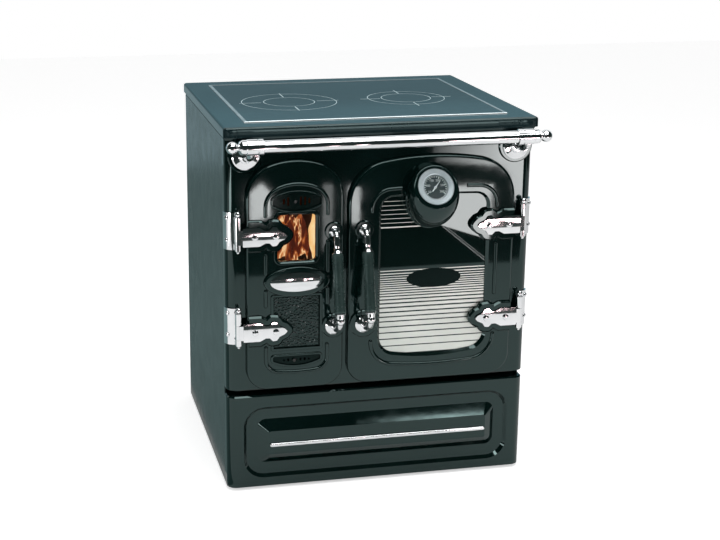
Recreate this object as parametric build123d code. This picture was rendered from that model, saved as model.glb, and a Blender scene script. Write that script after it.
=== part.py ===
from build123d import *
import math
import os

os.makedirs("parts", exist_ok=True)

# Main sizes in mm. X right, Y back, Z up; origin on the floor under the worktop's centre.
topWidth, topDepth, topHeight = 714, 640, 850
sideOverhang, frontOverhang = 5, 15
lip, coveHeight, coveInset = 22, 8, 4
castWall, sheet, cornerRadius, returnDepth = 8, 3, 22, 40
halfBody = topWidth / 2 - sideOverhang
insideWall = halfBody - sheet
frontY = -topDepth / 2 + frontOverhang
returnY = frontY + returnDepth
backY = topDepth / 2
bodyTop = topHeight - lip - coveHeight

# Clearances, and how far a cutter runs past the face it opens.
doorGap, runFit, curveGap, slack, seam, past = 1.5, 0.05, 0.3, 0.5, 1, 1

# Heights of the front: drawer, groove, doors.
drawerBottom, drawerTop, groove = 8, 230, 16
frameBottom = drawerTop + groove
doorBottom = frameBottom + 2

# Doors: edge margins, widths, apex drops, outline radii.
doorThick, doorRound, footRadius = 12.5, 6, 48
fireMargin, ovenMargin, doorsGap = 43, 44, 11
fireHalf = 110
fireX = -halfBody + fireMargin + fireHalf
ovenLeft, ovenRight = fireX + fireHalf + doorsGap, halfBody - ovenMargin
ovenX, ovenHalf = (ovenLeft + ovenRight) / 2, (ovenRight - ovenLeft) / 2
fireTopDrop, ovenTopDrop, badgeDrop = 46, 47, 11
fireTop, ovenTop = bodyTop - fireTopDrop, bodyTop - ovenTopDrop
fireCorner, fireCrown, ovenCorner, ovenCrown = 75, 170, 95, 650
doorBack = frontY - doorGap
doorFace = doorBack - doorThick
detailX = fireX + 3
badgeZ = (fireTop + doorBottom) / 2 - badgeDrop

# Hinges: barrel axis, strap levels, barrel and plate reach above and below the strap.
axisInset, axisOut, barrelRadius, pinRadius = 24, 16, 7.5, 3
axisX, axisY = halfBody - axisInset, frontY - axisOut
hingeAbove, hingeBelow = 108, 111
hingeZ = [badgeZ + hingeAbove, badgeZ - hingeBelow]
barrelUp, barrelDown, knuckleHalf = 44, 30, 16.5
plateThick, plateUp, plateDown, plateWrap = 3.5, 52, 32, 4
strapThick, padThick, padMargin, padBevel = 5, 8, 15, 4
strapY = doorFace - padThick


def box(x0, x1, y0, y1, z0, z1):
    return Pos((x0 + x1) / 2, (y0 + y1) / 2, (z0 + z1) / 2) * Box(x1 - x0, y1 - y0, z1 - z0)


def front(y, x=0, z=0):
    return Plane(origin=(x, y, z), x_dir=(1, 0, 0), z_dir=(0, -1, 0))


def slab(shape, yFront, thick, x=0, z=0):
    return extrude(front(yFront, x, z) * shape, amount=-thick)


def bevelledCut(face, yFront, bevel, x=0, z=0):
    wide = offset(face, amount=bevel + past, kind=Kind.ARC)
    mouth = extrude(front(yFront - past, x, z) * wide, amount=-(bevel + past), taper=45)
    return mouth + slab(face, yFront, doorThick + padThick + past, x, z)


def turned(profile, origin, direction):
    face = Plane.XZ * make_face(Polyline([(0, profile[0][1])] + profile + [(0, profile[-1][1])], close=True))
    return Plane(origin=origin, z_dir=direction).location * revolve(face, Axis.Z)


def drum(radius, start, end, origin, direction):
    return turned([(radius, start), (radius, end)], origin, direction)


def ring(outer, inner, start, end, origin, direction):
    return drum(outer, start, end, origin, direction) - drum(inner, start - past, end + past, origin, direction)


def mirrored(shape):
    return mirror(shape, Plane.YZ)


def group(*shapes):
    solids = []
    for shape in shapes:
        solids += shape.solids()
    return Compound(children=solids)


def pierced(shape, cutters):
    for cutter in cutters:
        shape = shape - cutter
    return shape


def joined(shapes):
    total = shapes[0]
    for shape in shapes[1:]:
        total = total + shape
    return total


def archEdges(x, half, apex, corner, crown, up=1):
    # right to left: a corner arc, a crown arc and a corner arc
    rise = crown - math.sqrt((crown - corner) ** 2 - (half - corner) ** 2)
    spring = apex - up * rise
    angle = math.atan2(crown - rise, half - corner)

    def at(side, turn):
        return (x + side * (half - corner + corner * math.cos(turn)), spring + up * corner * math.sin(turn))

    return spring, [
        ThreePointArc(at(1, 0), at(1, angle / 2), at(1, angle)),
        ThreePointArc(at(1, angle), (x, apex), at(-1, angle)),
        ThreePointArc(at(-1, angle), at(-1, angle / 2), at(-1, 0)),
    ]


def archFace(x, half, bottom, apex, corner, crown, foot):
    spring, top = archEdges(x, half, apex, corner, crown)
    left, right = x - half, x + half
    bend = foot * (1 - math.sqrt(0.5))
    return make_face(top + [
        Line((left, spring), (left, bottom + foot)),
        ThreePointArc((left, bottom + foot), (left + bend, bottom + bend), (left + foot, bottom)),
        Line((left + foot, bottom), (right - foot, bottom)),
        ThreePointArc((right - foot, bottom), (right - bend, bottom + bend), (right, bottom + foot)),
        Line((right, bottom + foot), (right, spring)),
    ])


def saggedFace(x, half, bottom, apex, corner, crown, foot, sag):
    spring, top = archEdges(x, half, apex, corner, crown)
    footSpring, low = archEdges(x, half, bottom, foot, (half ** 2 + sag ** 2) / (2 * sag), -1)
    sides = [Line((x + side * half, spring), (x + side * half, footSpring)) for side in (-1, 1)]
    return make_face(top + low + sides)


def archPath(x, half, apex, corner, crown, legEnd, up=1):
    spring, top = archEdges(x, half, apex, corner, crown, up)
    foot = spring - up * max(up * (spring - legEnd), seam)
    return [Line((x + half, foot), (x + half, spring))] + top + [Line((x - half, spring), (x - half, foot))]


def upright(x, low, high):
    return [Line((x, low), (x, high))]


def bead(edges, y, radius):
    # half-round rib with ball ends, along edges drawn on the front plane
    path = front(y) * Wire(edges)
    rib = sweep(Plane(origin=path @ 0, z_dir=path % 0) * Circle(radius), path=path)
    return [rib, Pos(path @ 0) * Sphere(radius), Pos(path @ 1) * Sphere(radius)]


def save(name, shape):
    export_step(shape, "parts/" + name + ".step")
    print(name, len(shape.solids()), "solids", round(shape.volume / 1000, 1), "cm3")


# Casing
panFloor, panTop, panInset = 3, 24, 6
panFront = returnY + sheet
pan = box(-halfBody + panInset, halfBody - panInset, panFront, backY - sheet, 0, panTop)
panHollow = box(-halfBody + panInset + sheet, halfBody - panInset - sheet, panFront + sheet,
                backY - 2 * sheet, panFloor, panTop + past)
save("base_pan", pan - panHollow)

sideLeft = joined([
    box(-halfBody, -insideWall, returnY, backY, drawerBottom, bodyTop),
    box(-insideWall, -halfBody + panInset, panFront, backY - sheet, drawerBottom, panTop),
])
save("side_panel_left", sideLeft)
save("side_panel_right", mirrored(sideLeft))

flueX, flueDrop, flueRadius, flueWall, flueLength = 0, 90, 75, 4, 50
flangeMargin, flangeThick, beadRise = 22, 6, 2
flueAt = (flueX, backY, bodyTop - flueDrop)
outward = (0, 1, 0)
backPanel = box(-insideWall, insideWall, backY - sheet, backY, panTop, bodyTop)
backPanel += box(-halfBody + panInset, halfBody - panInset, backY - sheet, backY, drawerBottom, panTop)
save("back_panel", backPanel - drum(flueRadius, -sheet - past, past, flueAt, outward))
save("flue_collar", joined([
    ring(flueRadius + flangeMargin, flueRadius, 0, flangeThick, flueAt, outward),
    ring(flueRadius + flueWall, flueRadius, flangeThick, flueLength, flueAt, outward),
    ring(flueRadius + flueWall + beadRise, flueRadius, flueLength - flangeThick, flueLength, flueAt, outward),
]))

shelfThick, shelfLip = 4, 20
save("mid_shelf", box(-insideWall, insideWall, returnY, backY - sheet, frameBottom - shelfThick, frameBottom)
     + box(-insideWall + shelfLip, insideWall - shelfLip, frontY + castWall, returnY,
           frameBottom - shelfThick, frameBottom))

# Cast front frame around both doors, with rail bosses
doorLap, topLap, radiusDrop, footDrop = 22, 28, 20, 28
fireOpening = archFace(fireX, fireHalf - doorLap, doorBottom + doorLap, fireTop - topLap,
                       fireCorner - radiusDrop, fireCrown - radiusDrop, footRadius - footDrop)
ovenOpening = archFace(ovenX, ovenHalf - doorLap, doorBottom + doorLap, ovenTop - topLap,
                       ovenCorner - radiusDrop, ovenCrown - radiusDrop, footRadius - footDrop)
bossInset, bossDrop, bossRadius, bossHeight, bossBevel = 44, 34.5, 39, 5, 2.5
bossX, bossZ = halfBody - bossInset, bodyTop - bossDrop
outline = box(-halfBody, halfBody, frontY, backY, frameBottom, bodyTop)
outline = fillet(outline.edges().filter_by(Axis.Z).group_by(Axis.Y)[0], cornerRadius)
frame = outline & box(-halfBody, halfBody, frontY, returnY, frameBottom, bodyTop)
frame -= box(-halfBody + castWall, halfBody - castWall, frontY + castWall, returnY + past,
             frameBottom + castWall, bodyTop + past)
frame -= slab(fireOpening, frontY - past, castWall + 2 * past)
frame -= slab(ovenOpening, frontY - past, castWall + 2 * past)
for x in (-bossX, bossX):
    boss = drum(bossRadius, -castWall, bossHeight, (x, frontY, bossZ), (0, -1, 0))
    boss = chamfer(boss.edges().group_by(Axis.Y)[0], bossBevel)
    frame += boss - box(-topWidth, topWidth, -topDepth, backY, bodyTop, topHeight)
save("front_frame", frame)

# Worktop with lip and cove, hob glass and steel trim
hobSide, hobFrontMargin, hobBackMargin, trimWidth, trimRise, trimBevel = 55, 57, 63, 7, 2, 1
glassThick, glassDrop, ledge = 6, 0.5, 14
topCorner, topRound, topSkin, rimWall, backRim = 8, 6, 9, 11, 12
hobHalf, hobFront, hobBack = topWidth / 2 - hobSide, -topDepth / 2 + hobFrontMargin, backY - hobBackMargin
glassTop = topHeight + trimRise - glassDrop
glassLow = glassTop - glassThick
topPlate = box(-topWidth / 2, topWidth / 2, -topDepth / 2, backY, topHeight - lip, topHeight)
topPlate = fillet(topPlate.edges().filter_by(Axis.Z), topCorner)
topPlate = fillet(topPlate.faces().sort_by(Axis.Z)[-1].edges(), topRound)
coveHalf, coveFront = halfBody + coveInset - past, frontY - coveInset + past
cove = Plane.XY.offset(topHeight - lip) * Pos(0, (coveFront + backY) / 2) * Rectangle(
    2 * coveHalf, backY - coveFront)
coveSolid = extrude(cove, amount=-coveHeight, taper=math.degrees(math.atan(coveInset / coveHeight)))
hobOpen = box(-hobHalf + ledge, hobHalf - ledge, hobFront + ledge, hobBack - ledge,
              bodyTop - past, topHeight + past)
glassSeat = box(-hobHalf + trimWidth, hobHalf - trimWidth, hobFront + trimWidth, hobBack - trimWidth,
                glassLow, topHeight + past)
topHollow = box(-halfBody + rimWall, halfBody - rimWall, frontY + rimWall, backY - backRim,
                bodyTop - past, topHeight - topSkin)
save("worktop", (topPlate + coveSolid) - hobOpen - glassSeat - topHollow)
trim = box(-hobHalf, hobHalf, hobFront, hobBack, topHeight, topHeight + trimRise)
trim = chamfer(trim.faces().sort_by(Axis.Z)[-1].edges(), trimBevel)
save("hob_trim", trim - box(-hobHalf + trimWidth, hobHalf - trimWidth, hobFront + trimWidth,
                            hobBack - trimWidth, topHeight - past, topHeight + trimRise + past))
glassEdge = trimWidth + slack
save("hob_glass", box(-hobHalf + glassEdge, hobHalf - glassEdge, hobFront + glassEdge, hobBack - glassEdge,
                      glassLow, glassTop))

# Firebox: casing, brick lining, grate and ash pan
casingWall, casingSide, casingMargin = 4, 103, 180
smokeDrop, smokeHalf = 80, 60
casingX0, casingX1, casingBack = fireX - casingSide, fireX + casingSide, backY - casingMargin
casingFront = frontY + castWall
casingFloor = frameBottom + castWall
ashBase = casingFloor + casingWall
casing = box(casingX0, casingX1, casingFront, casingBack, casingFloor, bodyTop)
casing -= box(casingX0 + casingWall, casingX1 - casingWall, casingFront - past, casingBack - casingWall,
              ashBase, bodyTop + past)
save("fire_casing", casing - box(casingX1 - casingWall - past, casingX1 + past, -smokeHalf, smokeHalf,
                                 bodyTop - smokeDrop, bodyTop + past))
brick, brickJoint, brickDrop, brickSetback = 25, 1, 100, 12
grateRise, grateThick = 178, 16
innerX0, innerX1 = casingX0 + casingWall, casingX1 - casingWall
innerX = (innerX0 + innerX1) / 2
brickFront, brickBack = casingFront + brickSetback, casingBack - casingWall
grateBottom = frameBottom + grateRise
grateTop, brickTop = grateBottom + grateThick, bodyTop - brickDrop
bricks = [box(innerX0 + brick, innerX1 - brick, brickBack - brick, brickBack, grateTop, brickTop)]
bricksDeep = 3
for i in range(bricksDeep):
    y0, y1 = [brickFront + (i + k) * (brickBack - brickFront) / bricksDeep - k * brickJoint for k in (0, 1)]
    bricks += [box(innerX0, innerX0 + brick, y0, y1, grateTop, brickTop),
               box(innerX1 - brick, innerX1, y0, y1, grateTop, brickTop)]
save("fire_bricks", group(*bricks))
grateMargin, slotEndMargin, gratePitch, grateGap = 40, 44, 22, 9
grate = box(innerX0, innerX1, brickFront, brickBack, grateBottom, grateTop)
grateSlot = SlotOverall(innerX1 - innerX0 - 2 * slotEndMargin, grateGap)
gratePlane = Plane.XY.offset(grateBottom - past)
for i in range(int((brickBack - brickFront - 2 * grateMargin) / gratePitch) + 1):
    y = brickFront + grateMargin + i * gratePitch
    grate -= extrude(gratePlane * Pos(innerX, y) * grateSlot, amount=grateThick + 2 * past)
save("grate", grate)
ashSide, ashFront, ashMargin, ashHeight, ashWall = 8, 10, 30, 62, 2
pullHalf, pullReach, pullDrop, pullThick = 30, 8, 22, 4
ashX0, ashX1, ashY0, ashY1 = innerX0 + ashSide, innerX1 - ashSide, casingFront + ashFront, casingBack - ashMargin
ash = box(ashX0, ashX1, ashY0, ashY1, ashBase, ashBase + ashHeight)
ash -= box(ashX0 + ashWall, ashX1 - ashWall, ashY0 + ashWall, ashY1 - ashWall,
           ashBase + ashWall, ashBase + ashHeight + past)
save("ash_pan", ash + box(innerX - pullHalf, innerX + pullHalf, ashY0 - pullReach, ashY0,
                          ashBase + ashHeight - pullDrop, ashBase + ashHeight - pullDrop + pullThick))

# Oven: liner, supports, rack guides, rack and tray
linerSide, linerRise, linerDrop, linerMargin, linerWall = 32, 46, 120, 210, 3
flangeSide, flangeLow, flangeHigh, flangeSheet = 20, 30, 56, 2
linerX0, linerX1 = ovenLeft + linerSide, ovenRight - linerSide
linerZ0, linerZ1, linerBack = frameBottom + linerRise, bodyTop - linerDrop, backY - linerMargin
liner = box(linerX0 - linerWall, linerX1 + linerWall, casingFront, linerBack + linerWall,
            linerZ0 - linerWall, linerZ1 + linerWall)
liner += box(linerX0 - flangeSide, linerX1 + flangeSide, casingFront, casingFront + flangeSheet,
             linerZ0 - flangeLow, linerZ1 + flangeHigh)
save("oven_liner", liner - box(linerX0, linerX1, casingFront - past, linerBack, linerZ0, linerZ1))
supportWide, supportInset, supportSide = 40, 47, 10
save("oven_supports", group(*[
    box(linerX0 + supportSide, linerX1 - supportSide, y, y + supportWide, frameBottom, linerZ0 - linerWall)
    for y in (casingFront + supportInset, linerBack - supportInset)]))
guideDepth, guideHeight, guideSetback, guideEnd, guideRises = 9, 4, 13, 4, [108, 205, 302]
guideFront, guideBack = casingFront + guideSetback, linerBack - guideEnd
guides = []
for rise in guideRises:
    z = linerZ0 + rise
    guides += [box(linerX0, linerX0 + guideDepth, guideFront, guideBack, z, z + guideHeight),
               box(linerX1 - guideDepth, linerX1, guideFront, guideBack, z, z + guideHeight)]
save("rack_guides", group(*guides))
wire, barWire, rackSlack, rackEnd, rackBars = 3, 1.8, 3, 6, 18
rackX0, rackX1 = linerX0 + rackSlack, linerX1 - rackSlack
rackFront, rackBack = guideFront + rackEnd, guideBack - rackEnd
wireZ = linerZ0 + guideRises[1] + guideHeight + wire
wires = [drum(wire, 0, rackX1 - rackX0, (rackX0, y, wireZ), (1, 0, 0)) for y in (rackFront, rackBack)]
wires += [drum(wire, 0, rackBack - rackFront, (x, rackFront, wireZ), (0, 1, 0))
          for x in (rackX0 + wire, (rackX0 + rackX1) / 2, rackX1 - wire)]
wires += [drum(barWire, 0, rackX1 - rackX0 - 2 * wire,
               (rackX0 + wire, rackFront + (rackBack - rackFront) * i / rackBars, wireZ), (1, 0, 0))
          for i in range(1, rackBars)]
save("oven_rack", joined(wires))
trayDeep, trayWall = 26, 2
trayZ = linerZ0 + guideRises[0] + guideHeight
tray = box(rackX0, rackX1, rackFront, rackBack, trayZ, trayZ + trayDeep)
save("oven_tray", tray - box(rackX0 + trayWall, rackX1 - trayWall, rackFront + trayWall, rackBack - trayWall,
                             trayZ + trayWall, trayZ + trayDeep + past))

# Towel rail: tube, brackets with collars, ball finials
railOut, railDrop, tubeRadius, plateRadius = 65, 30.3, 14, 30.5
collarInset, collarLength, ballReach, ballRadius = 26, 49, 18, 13.5
collarGroove, collarEnd = 12, 36
armRadius, armStart, screwCircle, screwRadius = 8.5, 12, 22, 4
railY, railZ = -topDepth / 2 - railOut, topHeight - railDrop
collarX0 = bossX - collarInset
collarX1 = collarX0 + collarLength
save("rail_tube", drum(tubeRadius, 0, 2 * collarX1, (-collarX1, railY, railZ), (1, 0, 0)))


def railBracket():
    plateY = frontY - bossHeight
    facing = (0, -1, 0)
    plate = turned([(plateRadius, 0), (plateRadius, 3), (plateRadius - 3, 5), (16, 7), (14, 13), (10, 16)],
                   (bossX, plateY, bossZ), facing)
    start = (bossX, plateY - armStart, bossZ)
    path = Bezier(start, (bossX, railY + tubeRadius, bossZ + 4), (bossX, railY, railZ - armStart))
    arm = sweep(Plane(origin=start, z_dir=path % 0) * Circle(armRadius), path=path)
    collar = turned([
        (tubeRadius + 1.6, 0), (tubeRadius + 3.6, 1.2), (tubeRadius + 3.6, collarGroove - 1),
        (tubeRadius + 2.6, collarGroove), (tubeRadius + 2.6, collarGroove + 1.5),
        (tubeRadius + 3.4, collarGroove + 2.5), (tubeRadius + 3.4, collarEnd),
        (tubeRadius + 2.2, collarEnd + 1.5), (tubeRadius + 2, collarLength - 3),
        (tubeRadius + 0.6, collarLength)], (collarX0, railY, railZ), (1, 0, 0))
    screws = [drum(screwRadius, 0, 5.5, (bossX + screwCircle * math.cos(a), plateY - 2,
                                         bossZ + screwCircle * math.sin(a)), facing)
              for a in (math.radians(200), math.radians(340), math.radians(90))]
    bore = drum(tubeRadius + runFit, -past, collarLength + past, (collarX0, railY, railZ), (1, 0, 0))
    return joined([plate, arm, collar] + screws) - bore


bracket = railBracket()
save("rail_brackets", group(bracket, mirrored(bracket)))
finialOutline = [(tubeRadius, 0), (tubeRadius + 0.6, 1.5), (12, 4), (7.5, 5.5), (7.5, 9)]
finial = turned(finialOutline, (collarX1, railY, railZ), (1, 0, 0))
finial += Pos(collarX1 + ballReach, railY, railZ) * Sphere(ballRadius)
save("rail_finials", group(finial, mirrored(finial)))

# Hinges: plates wrapped round the frame's corners, pins, straps on the doors


def hingePlate(z):
    shell = box(-halfBody - plateThick, halfBody + plateThick, frontY - plateThick, backY,
                z - plateDown, z + plateUp)
    shell = fillet(shell.edges().filter_by(Axis.Z).group_by(Axis.Y)[0], cornerRadius + plateThick) - outline
    leaf = shell & box(axisX - 2, topWidth, -topDepth, frontY + cornerRadius - plateWrap, 0, topHeight)
    for low, high in ((-barrelDown, -knuckleHalf - curveGap), (knuckleHalf + curveGap, barrelUp)):
        leaf += box(axisX - 1, axisX + barrelRadius, axisY, frontY - plateThick / 2, z + low, z + high)
        leaf += drum(barrelRadius, low, high, (axisX, axisY, z), (0, 0, 1))
    return leaf - drum(pinRadius, -barrelDown - past, barrelUp + past, (axisX, axisY, z), (0, 0, 1))


def hingePin(z):
    at = (axisX, axisY, z)
    pin = drum(pinRadius, -barrelDown - 2, barrelUp + 2, at, (0, 0, 1))
    pin += turned([(5.5, barrelUp), (5.5, barrelUp + 1.5), (3.5, barrelUp + 3)], at, (0, 0, 1))
    pin += turned([(5.5, barrelDown), (5.5, barrelDown + 2), (4, barrelDown + 4)], at, (0, 0, -1))
    pin += Pos(axisX, axisY, z + barrelUp + 7.5) * Sphere(6.5)
    return pin + Pos(axisX, axisY, z - barrelDown - 4) * Sphere(4)


def button(x, y, z, radius=5.5, height=3.5, direction=(0, -1, 0)):
    dome = [(radius, 0), (radius, 0.3 * height), (0.85 * radius, 0.7 * height), (0.5 * radius, 0.95 * height)]
    return turned(dome + [(0.15 * radius, height)], (x, y, z), direction)


boltTurn, boltRows = math.radians(50), (40, -10)
plates = [hingePlate(z) for z in hingeZ]
pins = [hingePin(z) for z in hingeZ]
plateBolts = [button(halfBody - cornerRadius + (cornerRadius + plateThick) * math.sin(boltTurn),
                     frontY + cornerRadius - (cornerRadius + plateThick) * math.cos(boltTurn),
                     z + row, direction=(math.sin(boltTurn), -math.cos(boltTurn), 0))
              for z in hingeZ for row in boltRows]
for name, right in (("hinge_plates", plates), ("hinge_pins", pins), ("hinge_bolts", plateBolts)):
    save(name, group(*right, *[mirrored(shape) for shape in right]))

# Strap outline as distance from the axis and half height
strapPoints = [(9.5, 21), (47, 21), (60, 14), (69, 14.5), (76, 22), (85, 21), (91, 12), (103, 6.5), (109, 0)]
strapBolts, strapBoltRadius, strapBoltRise = (36, 83), 7, 4.5
strapRound, strapBevel, strapCrown, rootLength = 2.5, 1.2, 160, 12


def strapFace(z):
    upper = [(-axisX + s, z + h) for s, h in strapPoints]
    lower = [(-axisX + s, z - h) for s, h in reversed(strapPoints[:-1])]
    return make_face(Polyline(upper + lower, close=True))


def leftStrap(z):
    at = (-axisX, axisY, z)
    plate = slab(fillet(strapFace(z).vertices(), strapRound), strapY - strapThick, strapThick)
    plate &= drum(strapCrown, 0, axisX, (-axisX, strapY - strapThick + strapCrown, z), (1, 0, 0))
    root = box(-axisX, -axisX + rootLength, strapY - strapThick + strapBevel, axisY,
               z - knuckleHalf, z + knuckleHalf)
    knuckle = drum(barrelRadius, -knuckleHalf, knuckleHalf, at, (0, 0, 1))
    bore = drum(pinRadius + runFit, -knuckleHalf - past, knuckleHalf + past, at, (0, 0, 1))
    return plate + (root + knuckle - bore)


def leftPad(z):
    spread = offset(strapFace(z), amount=padMargin, kind=Kind.ARC)
    pad = slab(spread, strapY, padThick + doorThick / 2)
    pad = chamfer(pad.faces().sort_by(Axis.Y)[0].edges(), padBevel)
    return pad & box(-axisX + axisInset - past, 0, strapY - past, doorBack, 0, topHeight)


straps = [leftStrap(z) for z in hingeZ]
pads = [leftPad(z) for z in hingeZ]
leftBolts = [button(-axisX + s, strapY - strapThick, z, strapBoltRadius, strapBoltRise)
             for z in hingeZ for s in strapBolts]
save("fire_straps", group(*straps))
save("oven_straps", group(*[mirrored(s) for s in straps]))
save("fire_strap_bolts", group(*leftBolts))
save("oven_strap_bolts", group(*[mirrored(b) for b in leftBolts]))

# Door handles: rosette, bent arm, waisted grip, foot on a large disc
fireHandleInset, ovenHandleInset = 23, 35
fireHandleX, ovenHandleX = fireX + fireHalf - fireHandleInset, ovenLeft + ovenHandleInset
rosetteZ, footZ, bossRise, bossSink = hingeZ[0] + 3, hingeZ[1] + 3, 5, 4
gripTopOut, gripTopDrop, gripFootOut, gripFootRise, gripRadius = 35, 43, 66, 49, 13.2
armRadius, legRadius = 6.8, 8
rosetteBoss, fireFootBoss, ovenFootBoss, discRadius, ferruleLong = 21, 28, 32, 19.5, 18


def handleBosses(x, footBoss):
    gap = box(fireX + fireHalf - seam, ovenLeft + seam, doorFace - 2 * bossRise, doorBack, 0, topHeight)
    bosses = []
    for z, radius in ((rosetteZ, rosetteBoss), (footZ, footBoss)):
        boss = drum(radius, -bossSink, bossRise, (x, doorFace, z), (0, -1, 0))
        bosses.append(chamfer(boss.edges().group_by(Axis.Y)[0], 2) - gap)
    return bosses


def handleParts(x):
    seat = doorFace - bossRise
    top = Vector(x, doorFace - gripTopOut, rosetteZ - gripTopDrop)
    foot = Vector(x, doorFace - gripFootOut, footZ + gripFootRise)
    down, length = (foot - top).normalized(), (foot - top).length
    rosette = turned([(12.5, 0), (12.5, 3), (10, 6), (6.5, 8)], (x, seat, rosetteZ), (0, -1, 0))
    start = Vector(x, seat - 5, rosetteZ)
    armPath = Bezier(start, Vector(x, top.Y + 3, rosetteZ + 4), top - down * 8)
    arm = sweep(Plane(origin=start, z_dir=armPath % 0) * Circle(armRadius), path=armPath)
    cone = turned([(7.4, -13), (8.5, -7), (12, -1.5), (12, 0)], top, down)
    disc = turned([(discRadius, 0), (discRadius, 3), (16, 6), (9, 8)], (x, seat, footZ), (0, -1, 0))
    elbow = foot + down * 16
    legPath = Bezier(Vector(x, seat - 6, footZ), Vector(x, elbow.Y + 8, footZ), elbow)
    leg = sweep(Plane(origin=legPath @ 0, z_dir=legPath % 0) * Circle(legRadius), path=legPath)
    ferrule = turned([(12, 0), (12.5, 3), (10, 6), (9, ferruleLong - 4), (9, ferruleLong)], foot, down)
    grip = turned([(gripRadius - 0.8, 0), (gripRadius, 3), (gripRadius - 0.7, 0.22 * length),
                   (gripRadius - 1.6, length / 2), (gripRadius - 1.1, 0.78 * length),
                   (gripRadius - 0.2, length - 3), (gripRadius - 0.8, length)], top, down)
    lower = joined([disc, leg, ferrule, Pos(foot + down * ferruleLong) * Sphere(10)])
    return joined([rosette, arm, cone]), lower, grip


for name, x in (("fire", fireHandleX), ("oven", ovenHandleX)):
    upper, lower, grip = handleParts(x)
    save(name + "_handle_ends", group(upper, lower))
    save(name + "_grip", grip)


def doorBlank(face):
    blank = slab(face, doorFace, doorThick)
    return fillet(blank.faces().sort_by(Axis.Y)[0].edges(), doorRound)


gasketIn, gasketOut = 3, 11


def gasket(face):
    rope = slab(offset(face, amount=gasketOut), doorBack, doorGap - curveGap)
    return rope - slab(offset(face, amount=gasketIn), doorBack - past, doorGap + past)


# Fire door, from the top: upper register, window, badge, textured panel, lower register
ventDrop, ventWide, ventTall, ventEnd, ventSeat, ventRim = 92, 108, 40, 13, 4, 5
winGap, winRise, winWide, winRadius, winBevel, rimWide, rimRise = 30, 47, 86, 8, 4, 9, 3
panelDrop, panelWide, panelSink, panelRim = 34, 106, 3, 6
slotRise, slotWide, slotTall, slotEnd, slotGap, slotRim = 67, 109, 23, 11, 30, 5
glassLap, glassT, lapDepth, roundEnds = 8, 4, 4.5, 4
ventZ, slotZ = fireTop - ventDrop, doorBottom + slotRise
winTop, winLow = ventZ - winGap, badgeZ + winRise
winZ, winTall = (winTop + winLow) / 2, winTop - winLow
panelTop, panelLow = badgeZ - panelDrop, slotZ + slotGap
panelZ, panelTall = (panelTop + panelLow) / 2, panelTop - panelLow
ribRadius, fireRibHalf, fireRibDrop, fireRibRise, badgeClear = 4.5, 70, 53, 40, 20
fireCrestCorner, fireCrestCrown, fireSillCorner, fireSillCrown, sillLeg = 44, 110, 30, 420, 33
padClear = strapPoints[0][1] + padMargin + 2 * ribRadius

ventFace = make_face([
    ThreePointArc((-ventWide / 2, ventEnd / 2), (0, ventTall / 2), (ventWide / 2, ventEnd / 2)),
    Line((ventWide / 2, ventEnd / 2), (ventWide / 2, -ventEnd / 2)),
    ThreePointArc((ventWide / 2, -ventEnd / 2), (0, -ventTall / 2), (-ventWide / 2, -ventEnd / 2)),
    Line((-ventWide / 2, -ventEnd / 2), (-ventWide / 2, ventEnd / 2))])
ventFace = fillet(ventFace.vertices(), roundEnds)
slotFace = make_face([
    Line((-slotWide / 2, slotTall / 2), (slotWide / 2, slotTall / 2)),
    Line((slotWide / 2, slotTall / 2), (slotWide / 2, slotTall / 2 - slotEnd)),
    ThreePointArc((slotWide / 2, slotTall / 2 - slotEnd), (0, -slotTall / 2),
                  (-slotWide / 2, slotTall / 2 - slotEnd)),
    Line((-slotWide / 2, slotTall / 2 - slotEnd), (-slotWide / 2, slotTall / 2))])
slotFace = fillet(slotFace.vertices(), roundEnds)
ventHole, slotHole = offset(ventFace, amount=-ventRim), offset(slotFace, amount=-slotRim)

fireRibs = [
    archPath(detailX, fireRibHalf, fireTop - fireRibDrop, fireCrestCorner, fireCrestCrown, winTop),
    archPath(detailX, fireRibHalf, doorBottom + fireRibRise, fireSillCorner, fireSillCrown, slotZ + sillLeg, -1),
]
for side, high in ((-1, hingeZ[0] - padClear), (1, rosetteZ - rosetteBoss - 2)):
    fireRibs += [upright(detailX + side * fireRibHalf, hingeZ[1] + padClear + 12, badgeZ - badgeClear),
                 upright(detailX + side * fireRibHalf, badgeZ + badgeClear, high)]
winRim = slab(RectangleRounded(winWide + 2 * rimWide, winTall + 2 * rimWide, winRadius + rimWide),
              doorFace - rimRise, 2 * rimRise, detailX, winZ)
panelRimBlock = slab(RectangleRounded(panelWide + 2 * panelRim, panelTall + 2 * panelRim, panelRim),
                     doorFace - rimRise, 2 * rimRise, detailX, panelZ)
ventRims = [slab(offset(face, amount=ventRim, kind=Kind.ARC), doorFace - rimRise, 2 * rimRise, detailX, z)
            for face, z in ((ventFace, ventZ), (slotFace, slotZ))]
rims = [fillet(rim.faces().sort_by(Axis.Y)[0].edges(), rimRise * 0.8)
        for rim in [winRim, panelRimBlock] + ventRims]
fireExtras = rims + pads + handleBosses(fireHandleX, fireFootBoss)
for edges in fireRibs:
    fireExtras += bead(edges, doorFace, ribRadius)
fireDoor = joined([doorBlank(archFace(fireX, fireHalf, doorBottom, fireTop, fireCorner, fireCrown, footRadius))]
                  + fireExtras)
padGuard = joined(pads)
winFace = RectangleRounded(winWide, winTall, winRadius)
lapWide, lapTall = winWide / 2 + glassLap, winTall / 2 + glassLap
panelMouth = slab(Rectangle(panelWide, panelTall), doorFace - 2 * rimRise, 2 * rimRise + panelSink,
                  detailX, panelZ)
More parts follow.
